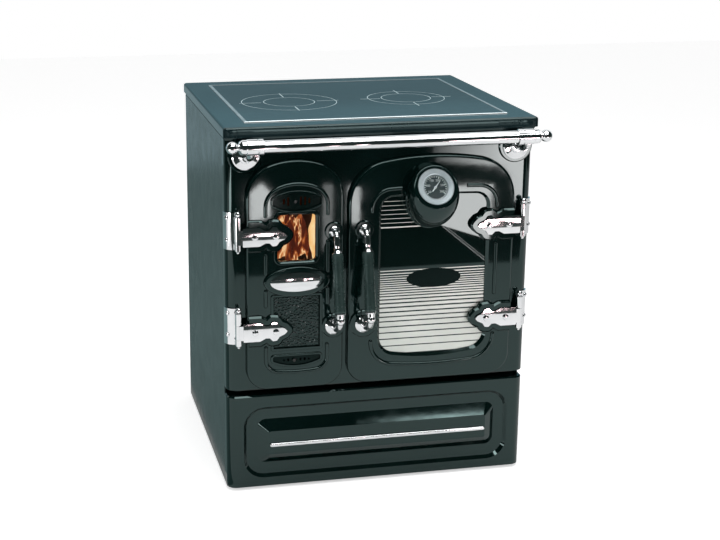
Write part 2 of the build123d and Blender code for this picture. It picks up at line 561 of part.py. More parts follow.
save("fire_door", pierced(fireDoor, [
    bevelledCut(winFace, doorFace - rimRise, winBevel, detailX, winZ) - padGuard,
    box(detailX - lapWide, detailX + lapWide, doorBack - lapDepth, doorBack + past,
        winZ - lapTall, winZ + lapTall),
    panelMouth - padGuard,
    slab(ventFace, doorFace - 2 * rimRise, 2 * rimRise + ventSeat, detailX, ventZ),
    slab(ventHole, doorFace - past, doorThick + 2 * past, detailX, ventZ),
    slab(slotFace, doorFace - 2 * rimRise, 2 * rimRise + ventSeat, detailX, slotZ),
    slab(slotHole, doorFace - past, doorThick + 2 * past, detailX, slotZ),
]))

# Fire door glass, clips, gasket, textured panel, badge, latch
glassY = doorBack - lapDepth
glassHalf, glassTall = lapWide - 2 * slack, lapTall - 2 * slack
save("fire_glass", box(detailX - glassHalf, detailX + glassHalf, glassY, glassY + glassT,
                       winZ - glassTall, winZ + glassTall))
clipHalf, clipThick, clipWide, clipInset = 10, 2, 7, 25.5
clipSpread = lapTall - clipInset


def glassClip(x, z, inward):
    x0, x1 = sorted((x + inward * 1.5, x + inward * clipWide))
    foot = box(x0, x1, glassY + glassT, doorBack + clipThick / 2, z - clipHalf, z + clipHalf)
    return box(x - clipWide, x + clipWide, doorBack, doorBack + clipThick, z - clipHalf, z + clipHalf) + foot


save("fire_glass_clips", group(*[glassClip(detailX + side * lapWide, winZ + row, -side)
                                 for side in (-1, 1) for row in (-clipSpread, clipSpread)]))
save("fire_gasket", gasket(fireOpening))
panelPlate = slab(Rectangle(panelWide - 2 * slack, panelTall - 2 * slack), doorFace + 0.6, panelSink - 0.6,
                  detailX, panelZ)
padShadow = [slab(offset(strapFace(z), amount=padMargin + slack, kind=Kind.ARC), strapY - past,
                  padThick + doorThick) for z in hingeZ]
save("fire_panel", pierced(panelPlate, padShadow))

bezelHalf, bezelTall, badgeHalf, badgeTall, bezelRise, badgeSink, bezelRound = 75, 35, 61, 22.4, 7, 3, 4.5
badgeDome, domeDeep, domeSpread = 3.6, 9, 1.27
bezel = slab(Ellipse(bezelHalf, bezelTall), doorFace - bezelRise, bezelRise, detailX, badgeZ)
bezel = fillet(bezel.faces().sort_by(Axis.Y)[0].edges(), bezelRound)
bezel -= slab(Ellipse(badgeHalf, badgeTall), doorFace - bezelRise - past, badgeSink + past, detailX, badgeZ)
save("fire_badge_bezel", pierced(bezel, rims))
domeY = doorFace - bezelRise - badgeDome
badge = slab(Ellipse(badgeHalf - slack, badgeTall - slack), domeY, badgeDome + badgeSink, detailX, badgeZ)
dome = scale(Sphere(1), by=(domeSpread * badgeHalf, domeDeep, domeSpread * badgeTall))
save("fire_badge", badge & (Pos(detailX, domeY + domeDeep, badgeZ) * dome))

latchRise, latchInset, latchHalf, latchReach, rollerRadius = 20, 13, 22, 13, 5
latchZ = badgeZ + latchRise


def latch(x):
    block = box(x - 6, x + 6, doorBack, doorBack + 3, latchZ - latchHalf, latchZ + latchHalf)
    block += box(x - 4, x + 4, doorBack + 3, doorBack + latchReach + 3, latchZ - 8, latchZ + 8)
    return block + drum(rollerRadius, -6, 6, (x, doorBack + latchReach, latchZ), (0, 0, 1))


save("fire_latch", latch(fireX + fireHalf - doorLap - latchInset))

# Air registers: slotted plate, sliding shutter behind it, pull pin
slotPitch, slotWidth, slideThick, plateSheet, pinSlot = 9.5, 4.6, 2, 3, 4.4
ventSlotTall, ventSlotEnd, lowSlotTall = 20, 13, 7
plateBack = doorFace + ventSeat


def register(outlineFace, hole, z, tall, endTall, count, pinX, lift):
    cuts = []
    for i in range(-count, count + 1):
        if abs(i * slotPitch - pinX) > slotPitch:
            height = endTall if abs(i) == count else tall
            cuts.append(Pos(i * slotPitch, lift) * SlotOverall(height, slotWidth, rotation=90))
    pull = Pos(pinX + slotPitch / 4, lift) * SlotOverall(slotPitch / 2 + pinSlot + 0.6, pinSlot)
    plate = slab(offset(outlineFace, amount=-slack), plateBack - plateSheet, plateSheet, detailX, z)
    room = offset(hole, amount=-2 * curveGap)
    shutter = slab(room & (Pos(-slotPitch / 2, 0) * room), plateBack + curveGap, slideThick, detailX, z)
    deep = [slab(cut, plateBack - 2 * plateSheet, 4 * plateSheet, detailX, z) for cut in cuts + [pull]]
    pin = turned([(1.8, 0), (1.8, 6), (3.4, 7.5), (3.4, 9.5), (2, 11)],
                 (detailX + pinX, plateBack + 1, z + lift), (0, -1, 0))
    return pierced(plate, deep), pierced(shutter, deep[:-1]) + pin


upperPlate, upperSlide = register(ventFace, ventHole, ventZ, ventSlotTall, ventSlotEnd, 3, -4, 0)
lowerPlate, lowerSlide = register(slotFace, slotHole, slotZ, lowSlotTall, slotWidth + 0.2, 3, -6, 1)
save("fire_vents", group(upperPlate, lowerPlate))
save("fire_shutter_upper", upperSlide)
save("fire_shutter_lower", lowerSlide)

# Oven door with window, pot for the thermometer, double glazing
paneMargin, paneShift, paneDrop, paneRise, ovenLatchInset = 69.5, 5.5, 91, 61, 20
paneCorner, paneFoot, paneSag, paneCrown, paneBevel = 28, 38, 14, 2500, 6
paneX, paneHalf = ovenX + paneShift, ovenHalf - paneMargin
paneZ0, paneZ1 = doorBottom + paneRise, ovenTop - paneDrop
paneFace = saggedFace(paneX, paneHalf, paneZ0, paneZ1, paneCorner, paneCrown, paneFoot, paneSag)
potShift, potRise, potTilt, potLength, potRim, potRimRound = -7, 6.5, 28, 48, 50, 4
footWide, footTall, potFootDrop, flareWide, flareThick = 53, 66, 12, 4, 2.5
bulgeWide, bulgeTall, bulgeAt, bulgeDrop = 58, 66, 0.5, 16
potX, potZ = ovenX + potShift, paneZ1 + potRise
lean = math.radians(potTilt)
potAxis = (0, -math.cos(lean), math.sin(lean))
potBase = (potX, doorFace, potZ)
potFootZ = potZ - potFootDrop
flareFace = Ellipse(footWide + flareWide, footTall + flareWide)
potPad = slab(flareFace, doorFace, doorThick, potX, potFootZ)
ovenPads = [mirrored(pad) for pad in pads]
ribGap, ribShift, crestCorner, sillCorner, sillCrown = 22, 2, 44, 56, 900
ribHalf = paneHalf + ribGap
crest = archPath(paneX, ribHalf, paneZ1 + ribGap - ribShift, crestCorner, paneCrown,
                 hingeZ[0] + padClear - ribShift)
sill = archPath(paneX, ribHalf, paneZ0 - ribGap - ribShift, sillCorner, sillCrown, hingeZ[1] - padClear, -1)
potLeft, potRight, potReach = 66, 86, 80
potClear = box(potX - potLeft, potX + potRight, doorFace - potReach, doorFace, potZ - potReach, potZ + potReach)
ovenDoor = joined(
    [doorBlank(archFace(ovenX, ovenHalf, doorBottom, ovenTop, ovenCorner, ovenCrown, footRadius))]
    + ovenPads + handleBosses(ovenHandleX, ovenFootBoss)
    + [rib - potClear for rib in bead(crest, doorFace, ribRadius)] + bead(sill, doorFace, ribRadius)
    + bead(upright(paneX + ribHalf, hingeZ[1] + padClear + 12, hingeZ[0] - padClear), doorFace, ribRadius))
paneCut = pierced(bevelledCut(paneFace, doorFace, paneBevel), ovenPads + [potPad])
lapHalf = paneHalf + glassLap
paneLap = box(paneX - lapHalf, paneX + lapHalf, glassY, doorBack + past, paneZ0 - glassLap, paneZ1 + glassLap)
save("oven_door", ovenDoor - paneCut - paneLap)


def paneRing(grow, y0, y1, hole=0):
    outer = box(paneX - paneHalf - grow, paneX + paneHalf + grow, y0, y1, paneZ0 - grow, paneZ1 + grow)
    return outer - box(paneX - paneHalf - hole, paneX + paneHalf + hole, y0 - past, y1 + past,
                       paneZ0 - hole, paneZ1 + hole)


holderWide, holderNarrow, holderThick, innerLap, clampThick, clampLap = 18, 16, 3, 9, 6, 5
innerY = doorBack + holderThick
glassReach = glassLap - 2 * slack
save("oven_glass", box(paneX - paneHalf - glassReach, paneX + paneHalf + glassReach, glassY, glassY + glassT,
                       paneZ0 - glassReach, paneZ1 + glassReach))
save("oven_glass_holder", joined([
    paneRing(holderWide, doorBack, innerY), paneRing(glassReach, glassY + glassT, doorBack),
    paneRing(holderNarrow, innerY, innerY + clampThick, innerLap + slack),
    paneRing(holderNarrow, innerY + glassT + slack, innerY + clampThick, clampLap)]))
save("oven_inner_glass", box(paneX - paneHalf - innerLap, paneX + paneHalf + innerLap, innerY, innerY + glassT,
                             paneZ0 - innerLap, paneZ1 + innerLap))
save("oven_gasket", gasket(ovenOpening))
save("oven_latch", latch(ovenLeft + doorLap + ovenLatchInset))

bezelRadius, bezelInner, dialRadius, seatDepth, dialDepth = 41.5, 27.5, 29.5, 5, 8.5
dialThick, lensThick, pinR, needleGap, needleThick = 1.2, 1, 0.8, 0.3, 0.5
seatAt, dialAt = potLength - seatDepth, potLength - dialDepth
rimPlane = Plane(origin=Vector(*potBase) + Vector(*potAxis) * potLength, x_dir=(1, 0, 0), z_dir=potAxis)
bulgeOrigin = Vector(*potBase) + Vector(*potAxis) * (potLength * bulgeAt) - Vector(0, 0, bulgeDrop)
bulgeAxis = (Vector(*potAxis) - Vector(0, 1, 0)).normalized()
bulgePlane = Plane(origin=bulgeOrigin, x_dir=(1, 0, 0), z_dir=bulgeAxis)
pot = loft([front(doorFace, potX, potFootZ) * Ellipse(footWide, footTall),
            bulgePlane * Ellipse(bulgeWide, bulgeTall), rimPlane * Circle(potRim)])
pot = fillet(pot.faces().sort_by(Axis.Y)[0].edges(), potRimRound)
pot += fillet(slab(flareFace, doorFace - flareThick, flareThick, potX, potFootZ)
              .faces().sort_by(Axis.Y)[0].edges(), flareThick * 0.8)
save("thermo_pot", pot - drum(bezelRadius + slack, seatAt, potLength + past, potBase, potAxis)
     - drum(dialRadius + slack, dialAt, potLength, potBase, potAxis))
bezelFace = Plane.XZ * make_face(Polyline([
    (bezelInner, seatAt), (bezelRadius, seatAt), (bezelRadius, potLength - 1.5), (bezelRadius - 1.5, potLength),
    (bezelInner + 2.5, potLength - 1.2), (bezelInner + 0.8, potLength - 0.4), (bezelInner, potLength - 1)],
    close=True))
save("thermo_bezel", Plane(origin=potBase, z_dir=potAxis).location * revolve(bezelFace, Axis.Z))
dialTop = dialAt + dialThick
save("thermo_dial", drum(dialRadius, dialAt, dialTop, potBase, potAxis)
     + drum(pinR, dialTop, dialTop + needleGap + needleThick + needleGap, potBase, potAxis))
save("thermo_lens", drum(dialRadius, seatAt - lensThick, seatAt, potBase, potAxis))
needleAt = Vector(*potBase) + Vector(*potAxis) * (dialTop + needleGap)
needleTurn, handTail, handTip, handHalf, hubRadius = 50, 12, 20, 1.3, 3
hand = make_face(Polyline([(-handTail, -handHalf), (0, -handHalf), (handTip, -slack), (handTip, slack),
                           (0, handHalf), (-handTail, handHalf)], close=True))
hand = Rot(0, 0, needleTurn) * (hand + Circle(hubRadius) - Circle(pinR + runFit))
save("thermo_needle", extrude(Plane(origin=needleAt, x_dir=(1, 0, 0), z_dir=potAxis) * hand, amount=needleThick))

# Wood drawer: stepped front, polished strip, box and slides
recessDepth, recessSide, recessEdge, recessRadius, rimBevel = 7, 37, 25, 48, 3
pillowSide, pillowEdge, pillowRise, pillowSlope, pillowRadius, flatRadius = 32, 33, 17, 25, 20, 4
stripInset, stripTall, stripRise, stripDrop = 95, 9, 4.5, 5
frontBack = returnY - seam
drawerZ = (drawerBottom + drawerTop) / 2 - 4
skin = castWall + recessDepth - 1
drawer = box(-halfBody, halfBody, frontY, frontBack, drawerBottom, drawerTop)
drawer = fillet(drawer.edges().filter_by(Axis.Z).group_by(Axis.Y)[0], cornerRadius)
drawer = chamfer(drawer.faces().sort_by(Axis.Z)[-1].edges().sort_by(Axis.Y)[:-1], rimBevel)
drawer -= box(-halfBody + castWall, halfBody - castWall, frontY + skin, frontBack + past,
              drawerBottom + castWall, drawerTop - castWall)
recessHalf, recessTall = halfBody - recessSide, drawerTop - drawerBottom - 2 * recessEdge
inward = Plane(origin=(0, frontY, drawerZ), x_dir=(-1, 0, 0), z_dir=(0, 1, 0))
drawer -= extrude(inward * RectangleRounded(2 * recessHalf, recessTall, recessRadius),
                  amount=recessDepth, taper=45)
pillowHalf, pillowTall, floorY = recessHalf - pillowSide, recessTall - 2 * pillowEdge, frontY + recessDepth
pillowZ = drawerZ + 2
pillow = loft([front(floorY, 0, pillowZ) * RectangleRounded(2 * pillowHalf, pillowTall, pillowRadius),
               front(floorY - pillowRise, 0, pillowZ) * RectangleRounded(
                   2 * (pillowHalf - pillowSlope), pillowTall - 2 * pillowSlope, flatRadius)])
save("drawer_front", drawer + pillow)
stripY = floorY - pillowRise - stripRise
strip = slab(SlotOverall(2 * (halfBody - stripInset), stripTall), stripY, stripRise, 0, pillowZ - stripDrop)
save("drawer_trim", fillet(strip.faces().sort_by(Axis.Y)[0].edges(), 3))
boxSide, boxMargin, boxBottom, boxTop, boxWall = 31, 70, 30, 200, 2
slideZ, slideTall, slideWide, slideSetback, slideClear, runnerLip, runnerEnd = 100, 14, 8, 5, 2, 6, 10
boxHalf, boxBack = insideWall - boxSide, backY - boxMargin
drawerBox = box(-boxHalf, boxHalf, frontY + skin, boxBack, boxBottom, boxTop)
drawerBox -= box(-boxHalf + boxWall, boxHalf - boxWall, frontY + skin + boxWall, boxBack - boxWall,
                 boxBottom + boxWall, boxTop + past)
slideRight = box(boxHalf, boxHalf + slideWide, panFront + slideSetback, boxBack, slideZ, slideZ + slideTall)
save("drawer_box", joined([drawerBox, slideRight, mirrored(slideRight)]))
runner = box(boxHalf + slideClear, insideWall, panFront, backY - runnerEnd,
             slideZ - runnerLip, slideZ + slideTall + runnerLip)
runner -= box(boxHalf, boxHalf + slideWide + seam, panFront - past, backY, slideZ - curveGap,
              slideZ + slideTall + curveGap)
save("drawer_runners", group(runner, mirrored(runner)))
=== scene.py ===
import math
import random
import bpy
import bmesh
from mathutils import Matrix, Vector, noise


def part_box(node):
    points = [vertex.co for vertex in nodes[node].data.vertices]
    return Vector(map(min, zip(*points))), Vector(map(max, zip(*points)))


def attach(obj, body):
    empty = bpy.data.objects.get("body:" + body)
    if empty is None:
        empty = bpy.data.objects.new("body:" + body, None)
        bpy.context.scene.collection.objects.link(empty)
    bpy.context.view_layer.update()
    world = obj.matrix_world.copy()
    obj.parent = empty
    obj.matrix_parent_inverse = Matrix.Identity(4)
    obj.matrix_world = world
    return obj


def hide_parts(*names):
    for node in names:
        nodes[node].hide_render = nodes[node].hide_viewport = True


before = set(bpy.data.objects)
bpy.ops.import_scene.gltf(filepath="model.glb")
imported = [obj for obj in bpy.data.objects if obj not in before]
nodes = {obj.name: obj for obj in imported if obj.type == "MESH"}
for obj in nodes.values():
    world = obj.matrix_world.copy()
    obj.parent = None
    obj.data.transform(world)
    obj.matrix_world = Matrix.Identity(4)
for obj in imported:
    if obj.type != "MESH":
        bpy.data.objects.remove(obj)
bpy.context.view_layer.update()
random.seed(11)
print("cookstove: frame loaded,", len(nodes), "nodes")

# Finishes: each has a drifting colour, a drifting gloss and a fine relief. The spans say which
# part of the noise each of the two follows.
cloudSpan = {"colour": (0.35, 0.68), "gloss": (0.3, 0.7), "colourDetail": 4, "glossDetail": 3}


def addCloud(tree, coords, scale, detail):
    cloud = tree.nodes.new("ShaderNodeTexNoise")
    cloud.inputs["Scale"].default_value = scale
    cloud.inputs["Detail"].default_value = detail
    tree.links.new(coords, cloud.inputs["Vector"])
    return cloud


def addRamp(tree, factor, stops, slot):
    ramp = tree.nodes.new("ShaderNodeValToRGB")
    while len(ramp.color_ramp.elements) < len(stops):
        ramp.color_ramp.elements.new(0.5)
    for element, (place, colour) in zip(ramp.color_ramp.elements, stops):
        element.position = place
        element.color = (*colour, 1)
    tree.links.new(factor, ramp.inputs["Fac"])
    tree.links.new(ramp.outputs["Color"], slot)


def addStretch(tree, stretch):
    mapping = tree.nodes.new("ShaderNodeMapping")
    mapping.inputs["Scale"].default_value = stretch
    coords = tree.nodes.new("ShaderNodeTexCoord").outputs["Object"]
    tree.links.new(coords, mapping.inputs["Vector"])
    return mapping.outputs["Vector"]


def makeFinish(name, dark, pale, gloss, patch=9, grain=60, bump=0.05, bumpScale=300, depth=0.0002,
               stretch=(1, 1, 1), pebbled=False, **plain):
    mat = bpy.data.materials.new(name)
    mat.use_nodes = True
    tree = mat.node_tree
    shader = tree.nodes["Principled BSDF"]
    for socket, value in plain.items():
        shader.inputs[socket.replace("_", " ")].default_value = value
    coords = addStretch(tree, stretch)

    patches = addCloud(tree, coords, patch, cloudSpan["colourDetail"])
    stops = list(zip(cloudSpan["colour"], (dark, pale)))
    addRamp(tree, patches.outputs["Fac"], stops, shader.inputs["Base Color"])

    grains = addCloud(tree, coords, grain, cloudSpan["glossDetail"])
    span = tree.nodes.new("ShaderNodeMapRange")
    ends = (*cloudSpan["gloss"], *gloss)
    for socket, value in zip(("From Min", "From Max", "To Min", "To Max"), ends):
        span.inputs[socket].default_value = value
    tree.links.new(grains.outputs["Fac"], span.inputs["Value"])
    tree.links.new(span.outputs["Result"], shader.inputs["Roughness"])

    relief = tree.nodes.new("ShaderNodeTexVoronoi" if pebbled else "ShaderNodeTexNoise")
    relief.inputs["Scale"].default_value = bumpScale
    tree.links.new(coords, relief.inputs["Vector"])
    bumpNode = tree.nodes.new("ShaderNodeBump")
    bumpNode.inputs["Strength"].default_value = bump
    bumpNode.inputs["Distance"].default_value = depth
    tree.links.new(relief.outputs["Distance" if pebbled else "Fac"], bumpNode.inputs["Height"])
    tree.links.new(bumpNode.outputs["Normal"], shader.inputs["Normal"])
    return mat


enamelTint = (0.72, 1.0, 0.97, 1)  # cool tint of the reflections in gloss enamel and dark glass
sideTint = (0.75, 1.0, 0.98, 1)
finishLooks = {
    "enamelBlack": dict(dark=(0.0006, 0.0042, 0.0036), pale=(0.0014, 0.0065, 0.0058),
                        gloss=(0.03, 0.06), patch=6, grain=25, bump=0.03, bumpScale=60,
                        depth=0.0004, IOR=1.58, Specular_Tint=enamelTint),
    "enamelSide": dict(dark=(0.010, 0.018, 0.018), pale=(0.017, 0.026, 0.026), gloss=(0.2, 0.27),
                       patch=5, grain=30, bump=0.05, bumpScale=90, depth=0.0004, IOR=1.5,
                       Specular_Tint=sideTint),
    "enamelTop": dict(dark=(0.006, 0.014, 0.016), pale=(0.011, 0.021, 0.023), gloss=(0.07, 0.12),
                      patch=7, grain=30, bump=0.03, bumpScale=80, depth=0.0003, IOR=1.5,
                      Specular_Tint=sideTint),
    "chrome": dict(dark=(0.74, 0.76, 0.77), pale=(0.86, 0.87, 0.88), gloss=(0.03, 0.07),
                   patch=14, grain=90, bump=0.03, bumpScale=160, Metallic=1),
    "satinSteel": dict(dark=(0.33, 0.39, 0.41), pale=(0.40, 0.46, 0.48), gloss=(0.3, 0.38),
                       patch=30, grain=140, bump=0.02, Metallic=0.35),
    "polishedTrim": dict(dark=(0.42, 0.46, 0.47), pale=(0.54, 0.58, 0.59), gloss=(0.16, 0.24),
                         patch=20, grain=120, bumpScale=260, stretch=(0.2, 1, 6), Metallic=0.6),
    "hobBlack": dict(dark=(0.006, 0.009, 0.010), pale=(0.010, 0.013, 0.014), gloss=(0.05, 0.09),
                     patch=5, grain=40, bump=0.02, bumpScale=500, depth=0.0001, IOR=1.5),
    "ringPrint": dict(dark=(0.36, 0.47, 0.49), pale=(0.46, 0.58, 0.60), gloss=(0.3, 0.4),
                      patch=40, bumpScale=900),
    "mirrorPrint": dict(dark=(0.67, 0.72, 0.67), pale=(0.75, 0.80, 0.75), gloss=(0.3, 0.36),
                        patch=12, grain=20, bump=0.006, bumpScale=120, Metallic=0.5),
    "glassBlack": dict(dark=(0.0006, 0.0042, 0.0034), pale=(0.0011, 0.0056, 0.0047),
                       gloss=(0.012, 0.025), patch=8, grain=30, bump=0.006, bumpScale=60,
                       depth=0.0001, IOR=1.58, Specular_Tint=enamelTint),
    "castRough": dict(dark=(0.018, 0.019, 0.019), pale=(0.045, 0.045, 0.044), gloss=(0.55, 0.75),
                      patch=30, bump=0.5, bumpScale=420, depth=0.0006),
    "pebbledCast": dict(dark=(0.0008, 0.0044, 0.0038), pale=(0.0018, 0.0068, 0.006),
                        gloss=(0.07, 0.12), patch=40, bump=0.1, bumpScale=500,
                        Specular_Tint=enamelTint),
    "registerBlack": dict(dark=(0.0006, 0.0042, 0.0036), pale=(0.0014, 0.0065, 0.0058),
                          gloss=(0.08, 0.14), patch=12, grain=30, bump=0.04, bumpScale=120,
                          IOR=1.22, Specular_Tint=enamelTint),
    "heatBlack": dict(dark=(0.02, 0.021, 0.021), pale=(0.036, 0.036, 0.035), gloss=(0.45, 0.6),
                      patch=12, bump=0.2, bumpScale=600, depth=0.0003),
    "ovenSteel": dict(dark=(0.16, 0.16, 0.165), pale=(0.26, 0.26, 0.26), gloss=(0.3, 0.42),
                      patch=6, bump=0.12, bumpScale=150, stretch=(1, 1, 8), Metallic=0.9),
    "slideSteel": dict(dark=(0.4, 0.41, 0.42), pale=(0.52, 0.53, 0.54), gloss=(0.25, 0.38),
                       patch=10, bump=0.1, bumpScale=220, stretch=(6, 0.3, 6), Metallic=1),
    "fireclay": dict(dark=(0.085, 0.050, 0.030), pale=(0.19, 0.13, 0.09), gloss=(0.8, 0.95),
                     patch=16, bump=0.7, bumpScale=260, depth=0.0012),
    "ropeGrey": dict(dark=(0.10, 0.10, 0.10), pale=(0.22, 0.22, 0.21), gloss=(0.8, 0.95),
                     patch=150, bump=0.8, bumpScale=450, depth=0.001, pebbled=True),
    "gripBlack": dict(dark=(0.014, 0.026, 0.024), pale=(0.022, 0.038, 0.035), gloss=(0.22, 0.3),
                      patch=25, bump=0.08, bumpScale=500, IOR=1.6, Specular_Tint=enamelTint),
    "dialGrey": dict(dark=(0.018, 0.040, 0.044), pale=(0.032, 0.060, 0.066), gloss=(0.3, 0.4),
                     patch=90, bump=0.08, bumpScale=800),
    # painted glow: the white dial marks and the needle give off a faint teal light of their own,
    # though they are no lamp
    "dialWhitePaintedGlow": dict(dark=(0.75, 0.77, 0.76), pale=(0.86, 0.87, 0.86), gloss=(0.35, 0.45),
                      patch=60, bumpScale=600, Emission_Color=(0.75, 0.95, 0.93, 1),
                      Emission_Strength=0.3),
    "badgeBare": dict(dark=(0.72, 0.74, 0.75), pale=(0.84, 0.86, 0.87), gloss=(0.04, 0.08),
                      patch=30, grain=80, bump=0.02, bumpScale=180, stretch=(0.4, 1, 3),
                      Metallic=1),
    "bark": dict(dark=(0.020, 0.006, 0.003), pale=(0.11, 0.035, 0.016), gloss=(0.8, 0.95),
                 patch=45, bump=0.9, bumpScale=120, depth=0.003, stretch=(4, 0.8, 4)),
    "clearGlass": dict(dark=(0.90, 0.93, 0.93), pale=(0.945, 0.9765, 0.9765), gloss=(0.01, 0.02),
                       patch=5, grain=20, bump=0.01, bumpScale=60, IOR=1.45,
                       Transmission_Weight=1.0),
}
finishes = {name: makeFinish(name, **look) for name, look in finishLooks.items()}

# Fire: a glowing pattern from dark hollows to pale tongues.
fireLooks = {
    "flame": dict(strength=1.1, scale=17, stretch=(1, 1, 0.55),
                  stops=[(0.30, (0.035, 0.006, 0.003)), (0.43, (0.09, 0.012, 0.004)),
                         (0.475, (0.45, 0.11, 0.025)), (0.51, (1.0, 0.66, 0.34)),
                         (0.54, (0.60, 0.17, 0.035)), (0.585, (0.12, 0.018, 0.006)),
                         (0.72, (0.04, 0.007, 0.003))]),
    "flamePale": dict(strength=1.05, scale=16, stretch=(1, 1, 0.4),
                      stops=[(0.34, (0.50, 0.14, 0.03)), (0.46, (0.95, 0.50, 0.17)),
                             (0.60, (1.0, 0.74, 0.40))]),
    "ember": dict(strength=1.1, scale=60, stretch=(1, 1, 1),
                  stops=[(0.38, (0.02, 0.006, 0.003)), (0.52, (0.45, 0.05, 0.005)),
                         (0.66, (1.0, 0.35, 0.05))]),
}


def makeFire(name, stops, strength, scale, stretch, detail=3, distortion=1.6):
    mat = makeFinish(name, stops[0][1], stops[-1][1], gloss=(0.9, 1.0), bumpScale=90)
    tree = mat.node_tree
    shader = tree.nodes["Principled BSDF"]
    tongues = addCloud(tree, addStretch(tree, stretch), scale, detail)
    tongues.inputs["Distortion"].default_value = distortion
    addRamp(tree, tongues.outputs["Fac"], stops, shader.inputs["Emission Color"])
    shader.inputs["Emission Strength"].default_value = strength
    return mat


for name, look in fireLooks.items():
    finishes[name] = makeFire(name, **look)
print("cookstove: finishes made", len(finishes))

nodeFinishes = {  # which finish each CAD node wears
    "enamelBlack": ["front_frame", "fire_door", "oven_door", "thermo_pot", "drawer_front",
                    "fire_badge_bezel"],
    "registerBlack": ["fire_vents"],
    "enamelSide": ["side_panel_left", "side_panel_right", "oven_tray"],
    "enamelTop": ["worktop"],
    "chrome": ["rail_tube", "rail_brackets", "rail_finials", "hinge_plates", "hinge_pins",
               "hinge_bolts", "fire_straps", "oven_straps", "fire_strap_bolts",
               "oven_strap_bolts", "fire_handle_ends", "oven_handle_ends", "oven_rack",
               "drawer_trim"],
    "polishedTrim": ["hob_trim"],
    "satinSteel": ["thermo_bezel"],
    "badgeBare": ["fire_badge"],
    "hobBlack": ["hob_glass"],
    "glassBlack": ["oven_glass"],
    "clearGlass": ["fire_glass", "oven_inner_glass", "thermo_lens"],
    "gripBlack": ["fire_grip", "oven_grip"],
    "castRough": ["flue_collar", "grate"],
    "heatBlack": ["base_pan", "back_panel", "mid_shelf", "fire_casing", "ash_pan",
                  "oven_supports", "fire_glass_clips", "oven_glass_holder", "fire_latch",
                  "oven_latch", "fire_shutter_upper", "fire_shutter_lower", "drawer_box"],
    "ovenSteel": ["oven_liner", "rack_guides"],
    "slideSteel": ["drawer_runners"],
    "fireclay": ["fire_bricks"],
    "ropeGrey": ["fire_gasket", "oven_gasket"],
    "dialGrey": ["thermo_dial"],
    "dialWhitePaintedGlow": ["thermo_needle"],
    "pebbledCast": ["fire_panel"],
}
for finish, names in nodeFinishes.items():
    for name in names:
        nodes[name].data.materials.clear()
        nodes[name].data.materials.append(finishes[finish])


def addPiece(name, bm, body, finish, standsFor=(), rounded=False, facing=None):
    bmesh.ops.remove_doubles(bm, verts=bm.verts, dist=1e-6)
    bmesh.ops.recalc_face_normals(bm, faces=bm.faces)
    if facing:  # an open sheet shows its front to this side
        bm.normal_update()
        turnedAway = [face for face in bm.faces if face.normal.dot(Vector(facing)) < 0]
        bmesh.ops.reverse_faces(bm, faces=turnedAway)
    for face in bm.faces:
        face.smooth = rounded
    mesh = bpy.data.meshes.new(name)
    bm.to_mesh(mesh)
    bm.free()
    mesh.materials.append(finishes[finish])
    piece = bpy.data.objects.new(name, mesh)
    bpy.context.scene.collection.objects.link(piece)
    if standsFor:
        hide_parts(*standsFor)
    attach(piece, body)


def unitGrid(bm, columns, rows):  # a square of side 1 round the origin, to be shaped
    return bmesh.ops.create_grid(bm, x_segments=columns, y_segments=rows, size=0.5)["verts"]


def flatRing(bm, place, inner, outer, steps=96):
    older = set(bm.verts)
    ends = [bm.verts.new((radius, 0, 0)) for radius in (inner, outer)]
    bmesh.ops.spin(bm, geom=ends + [bm.edges.new(ends)], cent=(0, 0, 0), axis=(0, 0, 1),
                   angle=math.tau, steps=steps, use_merge=True)
    bmesh.ops.transform(bm, matrix=place, verts=[vert for vert in bm.verts if vert not in older])


def flatBar(bm, place, x0, x1, y0, y1):
    middle = Matrix.Translation(((x0 + x1) / 2, (y0 + y1) / 2, 0))
    sized = middle @ Matrix.Diagonal((x1 - x0, y1 - y0, 1, 1))
    bmesh.ops.create_grid(bm, x_segments=1, y_segments=1, size=0.5, matrix=place @ sized)


# Printed cooking rings on the hob glass: centre, ring radii, ends of the ticks.
hobPrint = {"line": 0.0018, "tick": 0.0026, "lift": 0.0001, "ticks": 4,
            "rings": [((-0.153, -0.025), (0.060, 0.112), (0.067, 0.119)),
                      ((0.133, -0.022), (0.059, 0.092), (0.064, 0.112))]}
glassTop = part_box("hob_glass")[1][2] + hobPrint["lift"]
bm = bmesh.new()
for (x, y), radii, tickSpan in hobPrint["rings"]:
    place = Matrix.Translation((x, y, glassTop))
    half = hobPrint["line"] / 2
    for radius in radii:
        flatRing(bm, place, radius - half, radius + half)
    for i in range(hobPrint["ticks"]):
        turned = place @ Matrix.Rotation(math.tau * i / hobPrint["ticks"], 4, "Z")
        flatBar(bm, turned, *tickSpan, -hobPrint["tick"] / 2, hobPrint["tick"] / 2)
addPiece("hob_print", bm, "stove", "ringPrint", facing=(0, 0, 1))
print("cookstove: hob print")

# Mirror stripes and a dark oval on the oven glass. The lower stripes lie between the heights
# listed and fill more of each gap towards the bottom.
stripes = {"x0": -0.007, "x1": 0.248, "upperX1": 0.135, "lift": 0.0002,
           "thin": 0.0011, "thick": 0.0026, "leastFill": 0.3, "moreFill": 0.58,
           "upper": [0.610, 0.620, 0.630, 0.640, 0.650, 0.660, 0.670],
           "lower": [0.512, 0.505, 0.498, 0.493, 0.487, 0.482, 0.477, 0.472, 0.467, 0.461,
                     0.455, 0.449, 0.441, 0.432, 0.422, 0.411, 0.400, 0.389, 0.376, 0.362,
                     0.347, 0.330, 0.311]}
oval = {"x": 0.1235, "z": 0.4875, "wide": 0.0640, "tall": 0.0225, "sides": 96}
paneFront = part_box("oven_glass")[0][1] - stripes["lift"]
standUp = Matrix.Rotation(math.pi / 2, 4, "X")
paneFace = Matrix.Translation((0, paneFront, 0)) @ standUp
bm = bmesh.new()
